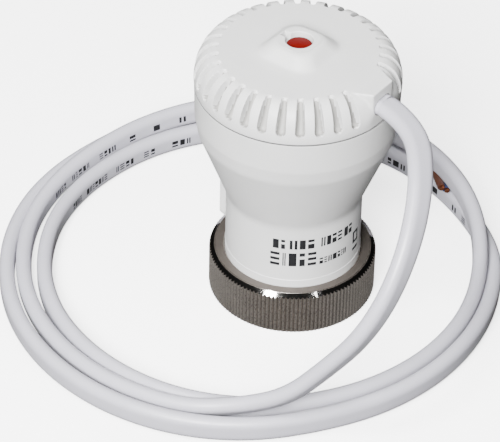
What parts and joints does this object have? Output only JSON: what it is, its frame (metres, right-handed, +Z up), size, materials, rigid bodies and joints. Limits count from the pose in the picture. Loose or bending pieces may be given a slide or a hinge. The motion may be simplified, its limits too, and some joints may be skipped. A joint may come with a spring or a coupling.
{
  "type": "thermal valve actuator head",
  "caption": "Round plastic thermal actuator head for a heating valve, with knurled union nut, vented cap, position button and flat two-core lead.",
  "frame": {"origin": "centre of the union nut's bottom face, on the head's own axis", "axes": "+Z up the head's axis, from the nut to the cap; the flat lead leaves the cap 36 degrees clockwise of +X seen from above"},
  "size_m": [0.1146, 0.1146, 0.0657],
  "materials": {
    "housing_white": "fine matte moulded plastic, cool off-white",
    "cap_white": "fine matte moulded plastic, off-white",
    "nut_nickel": "nickel-plated brass, knurled rim, turned crown",
    "spring_steel": "drawn spring steel, lightly oiled",
    "zinc_steel": "zinc-plated sheet steel",
    "brass": "turned brass, satin",
    "contact_bronze": "bronze strip, satin",
    "plunger_grey": "glass-filled plastic, dark grey",
    "frame_natural": "heat-resistant plastic, natural colour",
    "cup_brown": "phenolic moulding, dark brown",
    "heater_ceramic": "ceramic disc with silvered faces",
    "wax": "amber wax",
    "rubber_black": "moulded rubber",
    "indicator_red": "moulded plastic, signal red",
    "sheath_lilac_grey": "soft PVC sheath, pale lilac grey",
    "core_brown": "PVC core insulation, brown",
    "core_blue": "PVC core insulation, blue",
    "copper_tin": "bare stranded copper in crimped ends"
  },
  "bodies": {
    "housing": {"snap_ring": "spring_steel", "lower_housing": "housing_white", "cap": "cap_white", "guide_bush": "brass", "main_spring": "spring_steel", "bridge": "zinc_steel", "insulating_cup": "cup_brown", "lower_contact": "contact_bronze", "ptc_heater": "heater_ceramic", "capsule_shell": "brass", "wax_charge": "wax", "rubber_membrane": "rubber_black", "piston_guide": "brass", "upper_contact": "contact_bronze", "inner_frame": "frame_natural", "cable_clamp": "zinc_steel", "clamp_screws": "zinc_steel", "cable_sheath": "sheath_lilac_grey", "core_brown": "core_brown", "core_blue": "core_blue", "cable_drop": "sheath_lilac_grey", "cable_coil": "sheath_lilac_grey", "end_core_brown": "core_brown", "end_core_blue": "core_blue", "end_ferrules": "copper_tin"},
    "nut": {"union_nut": "nut_nickel"},
    "plunger": {"thrust_piece": "plunger_grey", "yoke": "zinc_steel", "piston": "zinc_steel", "indicator": "indicator_red"}
  },
  "joints": [
    {"name": "nut_turn", "type": "hinge", "parent": "housing", "child": "nut", "pos_m": [0, 0, 0.005], "axis": [0, 0, 1], "continuous": true},
    {"name": "plunger_slide", "type": "slide", "parent": "housing", "child": "plunger", "axis": [0, 0, 1], "range_m": [0, 0.004], "stiffness_N_per_m": 300, "springref_m": -0.004, "deforming": ["main_spring"]}
  ]
}
